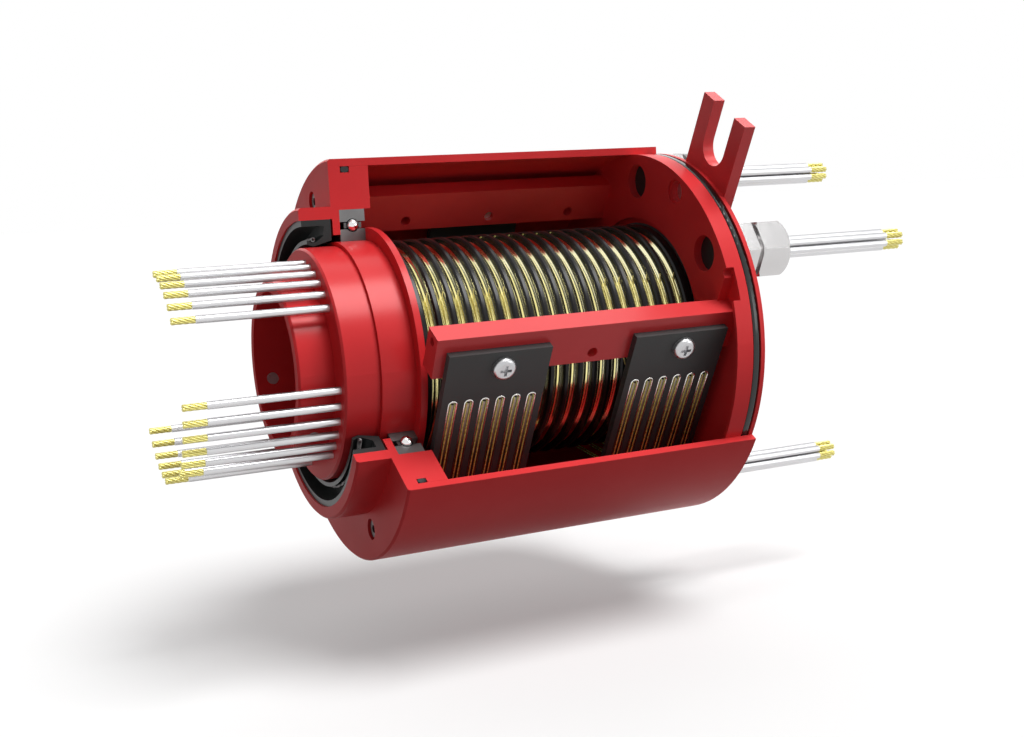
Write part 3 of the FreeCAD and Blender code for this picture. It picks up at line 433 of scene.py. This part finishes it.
@dataclass(frozen=True)
class Finishes:
    """Every finish of the object, built once."""

    turned: bpy.types.Material
    tube: bpy.types.Material
    outside: bpy.types.Material
    milled: bpy.types.Material
    screw: bpy.types.Material
    hidden_screw: bpy.types.Material
    race: bpy.types.Material
    ball: bpy.types.Material
    cage: bpy.types.Material
    rubber: bpy.types.Material
    oiled_rubber: bpy.types.Material
    plate: bpy.types.Material
    barrel: bpy.types.Material
    gold: bpy.types.Material
    wire: bpy.types.Material
    rim: bpy.types.Material
    strip: bpy.types.Material
    nickel: bpy.types.Material
    jacket: bpy.types.Material
    core: bpy.types.Material

    @staticmethod
    def make() -> "Finishes":
        """Returns the built finishes."""
        round_axis = (9000.0, 90.0, 90.0)
        return Finishes(
            turned=Anodised(Way.TURNED).build(),
            tube=Anodised(Way.TURNED, "tube_anodised", ior=1.06, bore=30.0 * MM).build(),
            outside=Anodised(
                Way.TURNED,
                "outer_anodised",
                base=rgb(0.69, 0.038, 0.042),
                pale=rgb(0.72, 0.044, 0.048),
                coat=0.22,
            ).build(),
            milled=Anodised(
                Way.MILLED,
                base=rgb(0.69, 0.036, 0.040),
                pale=rgb(0.72, 0.042, 0.046),
                roughness=0.45,
                ior=1.28,
            ).build(),
            screw=Metal(
                "bright_zinc",
                base=rgb(0.60, 0.60, 0.61),
                shade=rgb(0.50, 0.50, 0.51),
                roughness=0.30,
            ).build(),
            hidden_screw=Metal(
                "dark_steel",
                base=rgb(0.16, 0.15, 0.15),
                shade=rgb(0.11, 0.10, 0.10),
                roughness=0.40,
            ).build(),
            race=Metal(
                "ground_steel",
                base=grey(0.18),
                shade=grey(0.14),
                roughness=0.45,
                grain=round_axis,
            ).build(),
            ball=Metal(
                "polished_steel",
                base=rgb(0.80, 0.78, 0.78),
                shade=rgb(0.76, 0.74, 0.74),
                roughness=0.10,
            ).build(),
            cage=Metal(
                "pressed_steel",
                base=grey(0.12),
                shade=grey(0.09),
                roughness=0.38,
            ).build(),
            rubber=Moulded(
                "nitrile_rubber",
                base=rgb(0.014, 0.016, 0.016),
                shade=rgb(0.022, 0.025, 0.025),
                roughness=0.38,
                gloss=0.28,
            ).build(),
            oiled_rubber=Moulded(
                "oiled_rubber",
                base=rgb(0.006, 0.008, 0.008),
                shade=rgb(0.010, 0.012, 0.012),
                roughness=0.16,
                depth=0.0000005,
            ).build(),
            plate=Moulded(
                "black_laminate",
                base=grey(0.018),
                shade=grey(0.025),
                roughness=0.55,
            ).build(),
            barrel=Moulded(
                "glossy_barrel",
                base=grey(0.007),
                shade=rgb(0.012, 0.011, 0.011),
                roughness=0.24,
                gloss=0.22,
            ).build(),
            gold=Metal(
                "gold_plate",
                base=rgb(0.98, 0.93, 0.62),
                shade=rgb(0.92, 0.86, 0.50),
                roughness=0.15,
                grain=round_axis,
                depth=0.000002,
            ).build(),
            wire=Metal(
                "gold_wire",
                base=rgb(0.50, 0.43, 0.14),
                shade=rgb(0.40, 0.34, 0.10),
                roughness=0.28,
                metallic=0.35,
                depth=0.0,
                # Painted light: the wires turn paler and yellower towards their low ends, standing in for
                # reflections.
                low=rgb(0.84, 0.84, 0.24),
            ).build(),
            rim=Metal(
                "tinned_rim",
                base=rgb(0.92, 0.91, 0.88),
                shade=rgb(0.84, 0.83, 0.79),
                roughness=0.24,
                metallic=0.9,
                depth=0.0,
                # Painted shade: the rims darken towards their low ends, so that only the arch reads as lit.
                low=rgb(0.12, 0.11, 0.09),
                fade=(-0.032, -0.014),
            ).build(),
            strip=Metal(
                "tinned_strip",
                base=rgb(0.56, 0.55, 0.49),
                shade=rgb(0.44, 0.43, 0.38),
                roughness=0.40,
                metallic=0.7,
                # Painted shade: the strips darken towards their low ends.
                low=rgb(0.035, 0.030, 0.026),
                fade=(-0.036, -0.012),
            ).build(),
            nickel=Metal(
                "nickel_plate",
                base=rgb(0.68, 0.67, 0.67),
                shade=rgb(0.62, 0.61, 0.61),
                roughness=0.18,
                metallic=0.85,
                # Painted shade: the gland's upward flats are darkened to stand in for how the light falls.
                top=grey(0.21),
            ).build(),
            jacket=Moulded(
                "white_insulation",
                base=rgb(0.73, 0.73, 0.74),
                shade=rgb(0.70, 0.70, 0.71),
                roughness=0.30,
                metallic=0.8,
                depth=0.000001,
                # Painted shade: the leads' upward side is greyer; on the rotor leads this turns with the
                # rotor.
                top=rgb(0.36, 0.36, 0.37),
            ).build(),
            core=Metal(
                "stripped_gold",
                base=rgb(0.76, 0.70, 0.26),
                shade=rgb(0.62, 0.55, 0.18),
                roughness=0.30,
                metallic=0.8,
            ).build(),
        )


def add_piece(name: str, mesh: bpy.types.Mesh, body: str) -> bpy.types.Object:
    """Adds one piece of the object.

    Args:
        name: The piece's name.
        mesh: Its mesh.
        body: The body it rides on.

    Returns:
        The new object.
    """
    piece = bpy.data.objects.new(name, mesh)
    bpy.context.scene.collection.objects.link(piece)
    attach(piece, body)
    log.info("%s added to the %s", name, body)
    return piece


def repaint(node: str, material: bpy.types.Material) -> None:
    """Gives a CAD node its finish.

    Args:
        node: The node's name.
        material: The finish.
    """
    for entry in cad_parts[node].material_slots:
        entry.material = material
    log.info("%s finished in %s", node, material.name)


class Tubes:
    """Round tubes swept along points, gathered in one mesh."""

    def __init__(self, sides: int) -> None:
        """Starts an empty mesh for tubes with this many sides."""
        self.shape = bmesh.new()
        self.turns = [math.tau * k / sides for k in range(sides)]

    def sweep(self, spots: Sequence[Vector], radii: Sequence[float], slot: int = 0) -> None:
        """Adds one tube with closed ends.

        Args:
            spots: The centres along it.
            radii: Its radius at each of them.
            slot: The material slot of its faces.
        """
        before = [spots[0], *spots[:-1]]
        after = [*spots[1:], spots[-1]]
        ways = [(far - near).normalized() for near, far in zip(before, after)]
        side = ways[0].orthogonal().normalized()
        rings = []
        for k, (spot, radius, way) in enumerate(zip(spots, radii, ways)):
            side = ways[max(k - 1, 0)].rotation_difference(way) @ side
            up = way.cross(side)
            ring = [spot + radius * (math.cos(a) * side + math.sin(a) * up) for a in self.turns]
            rings.append([self.shape.verts.new(place) for place in ring])
        count = len(self.turns)
        for near, far in zip(rings, rings[1:]):
            for k in range(count):
                corners = (near[k], near[(k + 1) % count], far[(k + 1) % count], far[k])
                self.shape.faces.new(corners).material_index = slot
        for ring in (rings[0], rings[-1]):
            self.shape.faces.new(ring).material_index = slot

    def mesh(self, name: str) -> bpy.types.Mesh:
        """Closes the work on the tubes.

        Args:
            name: The mesh's name.

        Returns:
            The finished mesh with smooth sides and sharp ends.
        """
        bmesh.ops.recalc_face_normals(self.shape, faces=self.shape.faces)
        mesh = bpy.data.meshes.new(name)
        self.shape.to_mesh(mesh)
        self.shape.free()
        mesh.shade_smooth()
        mesh.set_sharp_from_angle(angle=math.radians(SHARP_ANGLE))
        return mesh


@dataclass
class Lead:
    """One insulated lead with a bare end of twisted strands."""

    radius: float = 1.5 * MM
    rounding: float = 0.2 * MM
    sunk: float = 1.5 * MM
    bare: float = 8.6 * MM
    strands: int = 6
    strand_radius: float = 0.45 * MM
    strand_circle: float = 0.88 * MM
    strand_end: float = 0.6
    twist: float = 0.6
    straight: float = 18.0 * MM
    sides: int = 16
    fineness: int = 16
    order: int = 3

    def line(self, controls: Sequence[Vector]) -> list[Vector]:
        """Draws the smooth line of a route.

        Args:
            controls: The route's control points.

        Returns:
            Points along the line.
        """
        curve = bpy.data.curves.new("route", "CURVE")
        curve.dimensions = "3D"
        curve.resolution_u = self.fineness
        spline = curve.splines.new("NURBS")
        spline.points.add(len(controls) - 1)
        for point, place in zip(spline.points, controls):
            point.co = (*place, 1.0)
        spline.order_u = self.order
        spline.use_endpoint_u = True
        holder = bpy.data.objects.new("route", curve)
        mesh = bpy.data.meshes.new_from_object(holder)
        spots = [vertex.co.copy() for vertex in mesh.vertices]
        bpy.data.objects.remove(holder)
        bpy.data.curves.remove(curve)
        bpy.data.meshes.remove(mesh)
        return spots

    def route(self, start: Vector, end: Vector) -> list[Vector]:
        """Returns the lead's line from its exit to its tip."""
        way = (end - start).normalized()
        return self.line([start, start + way * self.straight, end])

    def jacket(self, tubes: Tubes, start: Vector, cut: Vector) -> None:
        """Adds the insulation, which starts a little inside its hole and has a rounded cut end.

        Args:
            tubes: The lead's mesh so far.
            start: Where the lead leaves its hole.
            cut: Where the insulation ends.
        """
        way = (cut - start).normalized()
        spots = [start - way * self.sunk, *self.route(start, cut - way * self.rounding), cut]
        radii = [self.radius] * (len(spots) - 1) + [self.radius - self.rounding]
        tubes.sweep(spots, radii)

    def core(self, tubes: Tubes, cut: Vector, end: Vector) -> None:
        """Adds the twisted strands of the bare end, round one straight strand.

        Args:
            tubes: The lead's mesh so far.
            cut: Where the insulation ends.
            end: The lead's tip.
        """
        way = (end - cut).normalized()
        side = way.orthogonal().normalized()
        up = way.cross(side)
        middle = self.line([cut - way * self.sunk, (cut + end) / 2, end])
        outer = [(self.strand_circle, math.tau * k / self.strands) for k in range(self.strands)]
        for circle, first in [(0.0, 0.0), *outer]:
            turns = [first + self.twist * math.tau * (spot - cut).length / self.bare for spot in middle]
            offsets = [circle * (math.cos(a) * side + math.sin(a) * up) for a in turns]
            spots = [spot + offset for spot, offset in zip(middle, offsets)]
            radii = [self.strand_radius] * (len(spots) - 1) + [self.strand_radius * self.strand_end]
            tubes.sweep(spots, radii, 1)

    def mesh(self, name: str, start: Vector, end: Vector) -> bpy.types.Mesh:
        """Makes the lead: insulation in the first material slot, and the bare end in the second.

        Args:
            name: The mesh's name.
            start: Where the lead leaves its hole.
            end: The lead's tip.

        Returns:
            The lead's mesh.
        """
        cut = end - (end - start).normalized() * self.bare
        tubes = Tubes(self.sides)
        self.jacket(tubes, start, cut)
        self.core(tubes, cut, end)
        return tubes.mesh(name)


@dataclass
class Leads:
    """The free leads at both ends of the object. Clock angles are in degrees, from the front upwards."""

    finishes: Finishes
    lead: Lead = field(default_factory=Lead)
    per_group: int = 6
    rotor_exit: float = -13.5 * MM
    rotor_tip: float = -71.6 * MM
    rotor_circle: float = 40.5 * MM
    rotor_groups: Triple = (59.5, -30.5, -120.5)
    rotor_step: float = 9.0
    stator_exit: float = 173.05 * MM
    stator_tip: float = 236.0 * MM
    stator_circle: float = 65.5 * MM
    stator_groups: Triple = (86.0, 32.7, -84.0)
    bundle: float = 3.1 * MM

    @staticmethod
    def at(x: float, radius: float, clock: float) -> Vector:
        """Returns the point at a place along the axis, a radius and a clock angle."""
        angle = math.radians(clock)
        return Vector((x, -radius * math.cos(angle), radius * math.sin(angle)))

    def lay(self, name: str, start: Vector, end: Vector, body: str, node: str) -> None:
        """Args:
            name: The lead's name.
            start: Where it leaves its hole.
            end: Its tip.
            body: The body it rides on.
            node: The CAD node that it helps to replace.
        """
        mesh = self.lead.mesh(name, start, end)
        mesh.materials.append(self.finishes.jacket)
        mesh.materials.append(self.finishes.core)
        piece = add_piece(name, mesh, body)
        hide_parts(node)
        [tuple(p) for p in self.lead.route(start, end)]

    def rotor(self) -> None:
        """Lays the rotor's leads, on arcs of one circle."""
        number = 0
        for middle in self.rotor_groups:
            for k in range(self.per_group):
                clock = middle + self.rotor_step * (k - (self.per_group - 1) / 2)
                start = self.at(self.rotor_exit, self.rotor_circle, clock)
                end = self.at(self.rotor_tip, self.rotor_circle, clock)
                number += 1
                self.lay(f"rotor_lead_{number:02d}", start, end, "rotor", "rotor_leads")

    def stator(self) -> None:
        """Lays the round bundles that leave the glands."""
        number = 0
        for clock in self.stator_groups:
            turn = Matrix.Rotation(math.radians(-clock), 3, "X")
            for k in range(self.per_group):
                angle = math.radians(360 / self.per_group * k)
                offset = Vector((0, self.bundle * math.cos(angle), self.bundle * math.sin(angle)))
                start = turn @ (Vector((self.stator_exit, -self.stator_circle, 0)) + offset)
                end = turn @ (Vector((self.stator_tip, -self.stator_circle, 0)) + offset)
                number += 1
                self.lay(f"stator_lead_{number:02d}", start, end, "stator", "stator_leads")

    def build(self) -> None:
        """Lays every lead."""
        self.rotor()
        self.stator()


@dataclass(frozen=True)
class Block:
    """Where one brush block lies, drawn with n outwards and t upwards before it is turned to its bar.

    Attributes:
        number: The block's number along the axis.
        clock: The angle of its bar, in degrees.
        upright: 1 with its screw above, -1 with its screw below.
        back: How far out its plate's back face lies.
        outlet: The height at which its wires' screw-side legs leave the plate.
        wrap: The angle over which those legs lie on the rings, in degrees.
    """

    number: int
    clock: float
    upright: float
    back: float
    outlet: float
    wrap: float

    def at(self, x: float, n: float, t: float) -> Vector:
        """Returns a point of the block in the object's space, from millimetres."""
        turn = Matrix.Rotation(math.radians(-self.clock), 3, "X")
        return turn @ Vector((x, -n, self.upright * t)) * MM


@dataclass
class BrushGear:
    """Round spring wires and the raised rims of the contact strips. Lengths are in millimetres."""

    finishes: Finishes
    first_ring: float = 22.8
    pitch: float = 6.45
    per_block: int = 6
    ring_radius: float = 44.5
    wire_radius: float = 0.26
    wire_sides: int = 10
    spread: float = 0.8
    tip: float = 3.0
    tip_lift: float = 25.0
    flare: float = 0.6
    low_outlet: float = -25.0
    low_wrap: float = 8.0
    wrap_shares: tuple[float, ...] = (1.0, 0.75, 0.5, 0.25, 0.0)
    run_out: float = 3.0
    bend: float = 0.5
    bend_turns: tuple[float, ...] = (0.0, 30.0, 60.0, 90.0)
    strip_out: float = 2.72
    strip_bottom: float = -28.5
    strip_half: float = 2.0
    cap: float = 1.7
    rim_radius: float = 0.38
    rim_sides: int = 8
    arch_steps: int = 12
    blocks: tuple[Block, ...] = (
        Block(number=1, clock=-30.0, upright=1.0, back=55.2, outlet=18.9, wrap=4.0),
        Block(number=2, clock=150.0, upright=-1.0, back=57.5, outlet=8.0, wrap=12.0),
        Block(number=3, clock=-30.0, upright=1.0, back=55.2, outlet=18.9, wrap=4.0),
    )

    def rings(self, block: Block) -> list[float]:
        """Returns where the six slip rings of a block lie along the axis."""
        first = self.first_ring + self.pitch * self.per_block * (block.number - 1)
        return [first + self.pitch * k for k in range(self.per_block)]

    def leg(self, back: float, outlet: float, side: float, wrap: float) -> Outline:
        """Returns one leg of a wire.

        Args:
            back: Where the plate's back face lies.
            outlet: The height at which the wire leaves the plate.
            side: 1 for the upper leg and -1 for the lower one.
            wrap: The angle over which the wire lies on the ring.

        Returns:
            Points from the free tip, along the ring, to the plate.
        """
        reach = math.hypot(back, outlet)
        touch = math.degrees(math.atan2(side * outlet, back) + math.acos(self.ring_radius / reach))
        last = touch + wrap
        turns = [math.radians(touch + wrap * share) for share in self.wrap_shares]
        arc = [(self.ring_radius * math.cos(a), self.ring_radius * math.sin(a)) for a in turns]
        tip_way = math.radians(last + 90.0 - self.tip_lift)
        tip = (arc[0][0] + self.tip * math.cos(tip_way), arc[0][1] + self.tip * math.sin(tip_way))
        return [(n, side * t) for n, t in (tip, *arc, (back, side * outlet))]

    def elbow(self, n: float, t: float, side: float) -> Outline:
        """Returns the small bend from the plate's hole to the front run.

        Args:
            n: How far out the bend's corner lies.
            t: The height of the corner.
            side: 1 for the upper bend and -1 for the lower one.

        Returns:
            Points from the hole to the front run.
        """
        turns = [math.radians(a) for a in self.bend_turns]
        return [(n - self.bend * (1 - math.sin(a)), t - side * self.bend * (1 - math.cos(a))) for a in turns]

    def wire(self, block: Block) -> Outline:
        """Returns one wire's line.

        Args:
            block: The wire's brush block.

        Returns:
            Points from the upper tip, through the plate and back, to the lower tip.
        """
        run = block.back + self.run_out
        upper = self.leg(block.back, block.outlet, 1.0, block.wrap)
        lower = self.leg(block.back, self.low_outlet, -1.0, self.low_wrap)
        bends = self.elbow(run, block.outlet, 1.0), self.elbow(run, self.low_outlet, -1.0)
        return [*upper, *bends[0], *reversed(bends[1]), *reversed(lower)]

    def wires(self, block: Block) -> None:
        """Adds a block's twelve spring wires, whose free tips flare out of their grooves.

        Args:
            block: The brush block.
        """
        tubes = Tubes(self.wire_sides)
        line = self.wire(block)
        tips = (0, len(line) - 1)
        for x in self.rings(block):
            for side in (-self.spread, self.spread):
                flare = math.copysign(self.flare, side)
                shifts = [flare if k in tips else 0.0 for k in range(len(line))]
                spots = [block.at(x + side + shift, n, t) for shift, (n, t) in zip(shifts, line)]
                tubes.sweep(spots, [self.wire_radius * MM] * len(spots))
        piece = self.dress(f"spring_wires_{block.number}", tubes, self.finishes.wire, "gold_plate")
        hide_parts(f"brush_wires_{block.number}")

    def rims(self, block: Block) -> None:
        """Adds the raised rim of each contact strip: up one edge, round the top and down the other.

        Args:
            block: The brush block.
        """
        tubes = Tubes(self.rim_sides)
        half = self.strip_half - self.rim_radius
        top = block.outlet + self.cap - self.strip_half
        out = block.back + self.strip_out
        turns = [math.radians(180 / self.arch_steps * k) for k in range(self.arch_steps + 1)]
        arch = [(-half * math.cos(a), top + half * math.sin(a)) for a in turns]
        line = [(-half, self.strip_bottom), *arch, (half, self.strip_bottom)]
        for x in self.rings(block):
            spots = [block.at(x + side, out, t) for side, t in line]
            tubes.sweep(spots, [self.rim_radius * MM] * len(spots))
        self.dress(f"strip_rims_{block.number}", tubes, self.finishes.rim, "strip_silver")

    @staticmethod
    def dress(name: str, tubes: Tubes, finish: bpy.types.Material, slot: str) -> bpy.types.Object:
        """Adds swept tubes as a piece of the stator.

        Args:
            name: The piece's name.
            tubes: Its tubes.
            finish: Its finish.
            slot: Not used.

        Returns:
            The new object.
        """
        mesh = tubes.mesh(name)
        mesh.materials.append(finish)
        return add_piece(name, mesh, "stator")

    def build(self) -> None:
        """Adds the gear of every block."""
        for block in self.blocks:
            self.wires(block)
            self.rims(block)


@dataclass
class GarterSpring:
    """The fine coil that presses the seal's lip to the rotor, in millimetres and degrees."""

    finishes: Finishes
    x: float = -8.0
    circle: float = 48.9
    coil: float = 0.74
    wire_radius: float = 0.26
    wire_sides: int = 5
    first: float = 90.0
    sweep: float = 240.0
    turns: int = 290
    steps: int = 8

    def spot(self, share: float) -> Vector:
        """Returns a point of the coil.

        Args:
            share: 0 at the coil's first end and 1 at its last.

        Returns:
            The point in metres.
        """
        clock = math.radians(self.first + self.sweep * share)
        wind = math.tau * self.turns * share
        x = self.x + self.coil * math.sin(wind)
        radius = self.circle + self.coil * math.cos(wind)
        return Vector((x, -radius * math.cos(clock), radius * math.sin(clock))) * MM

    def build(self) -> None:
        """Adds the spring in place of its plain ring."""
        count = self.turns * self.steps
        tubes = Tubes(self.wire_sides)
        tubes.sweep([self.spot(k / count) for k in range(count + 1)], [self.wire_radius * MM] * (count + 1))
        mesh = tubes.mesh("garter_spring")
        mesh.materials.append(self.finishes.hidden_screw)
        piece = add_piece("garter_spring", mesh, "stator")
        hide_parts("seal_spring")


@dataclass
class Dressing:
    """The CAD nodes that keep their own shape, by finish."""

    finishes: Finishes
    plates: int = 3
    rings: int = 18

    def build(self) -> None:
        """Gives each kept node its finish."""
        looks = self.finishes
        kept: dict[bpy.types.Material, tuple[str, ...]] = {
            looks.turned: ("rotor_hub",),
            looks.tube: ("bore_tube",),
            looks.outside: ("front_housing", "cover_sleeve", "rear_flange"),
            looks.milled: ("frame_bar_front", "frame_bar_rear", "frame_bar_lower", "torque_arm"),
            looks.screw: ("block_screws", "torque_arm_screws", "rotor_set_screws", "bearing_circlip"),
            looks.hidden_screw: ("housing_screws", "flange_screws"),
            looks.race: ("front_outer_race", "rear_outer_race", "front_inner_race", "rear_inner_race"),
            looks.ball: ("front_balls", "rear_balls"),
            looks.cage: ("front_ball_cage", "rear_ball_cage"),
            looks.rubber: ("shaft_seal", "gland_inserts"),
            looks.oiled_rubber: ("housing_o_ring", "flange_o_ring"),
            looks.plate: tuple(f"brush_plate_{k + 1}" for k in range(self.plates)),
            looks.barrel: ("ring_barrel",),
            looks.gold: tuple(f"slip_ring_{k + 1:02d}" for k in range(self.rings)),
            looks.strip: ("contact_strips",),
            looks.nickel: ("gland_bodies", "gland_nuts"),
        }
        for material, nodes in kept.items():
            for node in nodes:
                repaint(node, material)


@dataclass(frozen=True)
class Lamp:
    """A broad soft light of even strength.

    Attributes:
        name: The light's name.
        source: The direction that it comes from.
        power: Its strength.
        angle: The angle that it fills, in degrees.
    """

    name: str
    source: Triple
    power: float
    angle: float

    def build(self) -> None:
        """Adds the light."""
        data = bpy.data.lights.new(self.name, "SUN")
        data.energy = self.power
        data.angle = math.radians(self.angle)
        light = bpy.data.objects.new(self.name, data)
        bpy.context.scene.collection.objects.link(light)
        light.rotation_euler = (-Vector(self.source)).to_track_quat("-Z", "Y").to_euler()


@dataclass(frozen=True)
class Viewpoint:
    """The camera of the photo, as fitted to it: its place, its own three axes and its lens in millimetres."""

    place: Triple = (-0.15985, -0.50830, 0.06488)
    right: Triple = (0.90373, -0.42520, -0.04982)
    up: Triple = (0.10162, 0.10002, 0.98978)
    back: Triple = (-0.41587, -0.89956, 0.13359)
    lens: float = 46.81
    sensor: float = 36.0
    near: float = 0.01
    far: float = 100.0

    def build(self) -> None:
        """Adds the camera and makes it the scene's own."""
        data = bpy.data.cameras.new("camera")
        data.sensor_width = self.sensor
        data.sensor_fit = "HORIZONTAL"
        data.lens = self.lens
        data.clip_start = self.near
        data.clip_end = self.far
        camera = bpy.data.objects.new("camera", data)
        bpy.context.scene.collection.objects.link(camera)
        axes = [Vector(axis) for axis in (self.right, self.up, self.back)]
        turn = Matrix(axes).transposed().to_4x4()
        camera.matrix_world = Matrix.Translation(self.place) @ turn
        bpy.context.scene.camera = camera


@dataclass
class Studio:
    """Floor, surroundings, lights and camera."""

    floor_z: float = -0.117
    floor_half: float = 12.0
    floor_seen: float = 0.62
    floor_glow: float = 0.262
    floor_bounce: float = 0.14
    sky: float = 0.17
    white: float = 1.0
    viewpoint: Viewpoint = Viewpoint()
    lamps: tuple[Lamp, ...] = (
        Lamp("key", source=(0.25, -0.36, 0.90), power=3.15, angle=34.0),
        Lamp("back", source=(0.20, 0.75, 0.65), power=0.85, angle=70.0),
        Lamp("side", source=(0.72, -0.68, 0.12), power=0.55, angle=30.0),
    )

    def floor(self) -> None:
        """Adds the pale floor, which fades into the backdrop's white and keeps the shadow."""
        mesh = bpy.data.meshes.new("floor")
        half = self.floor_half
        square = ((-half, -half), (half, -half), (half, half), (-half, half))
        mesh.from_pydata([(x, y, self.floor_z) for x, y in square], [], [(0, 1, 2, 3)])
        skin = Skin("pale_floor")
        seen = skin.seen()
        skin.surface(
            Base_Color=skin.mixed(seen, grey(self.floor_bounce), grey(self.floor_seen)),
            Roughness=1.0,
            Specular_IOR_Level=0.0,
            Emission_Color=skin.mixed(seen, grey(0.0), grey(self.floor_glow)),
            Emission_Strength=1.0,
        )
        mesh.materials.append(skin.material)
        floor = bpy.data.objects.new("floor", mesh)
        bpy.context.scene.collection.objects.link(floor)

    def world(self) -> None:
        """Sets the white surroundings, which light the object dimly."""
        world = bpy.data.worlds.new("studio")
        world.use_nodes = True
        graph = Graph(world.node_tree)
        background = graph.tree.nodes["Background"]
        graph.feed(background.inputs["Color"], graph.mixed(graph.seen(), grey(self.sky), grey(self.white)))
        graph.feed(background.inputs["Strength"], 1.0)
        bpy.context.scene.world = world

    def build(self) -> None:
        """Sets up everything round the object."""
        self.viewpoint.build()
        self.floor()
        self.world()
        for lamp in self.lamps:
            lamp.build()
        bpy.context.scene.view_settings.view_transform = "Standard"
        log.info("studio set")


def main() -> None:
    """Builds the looks of the whole object."""
    logging.basicConfig(level=logging.INFO, format="%(name)s: %(message)s")
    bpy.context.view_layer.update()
    finishes = Finishes.make()
    Studio().build()
    Leads(finishes).build()
    BrushGear(finishes).build()
    GarterSpring(finishes).build()
    Dressing(finishes).build()


if __name__ == "__main__":
    main()
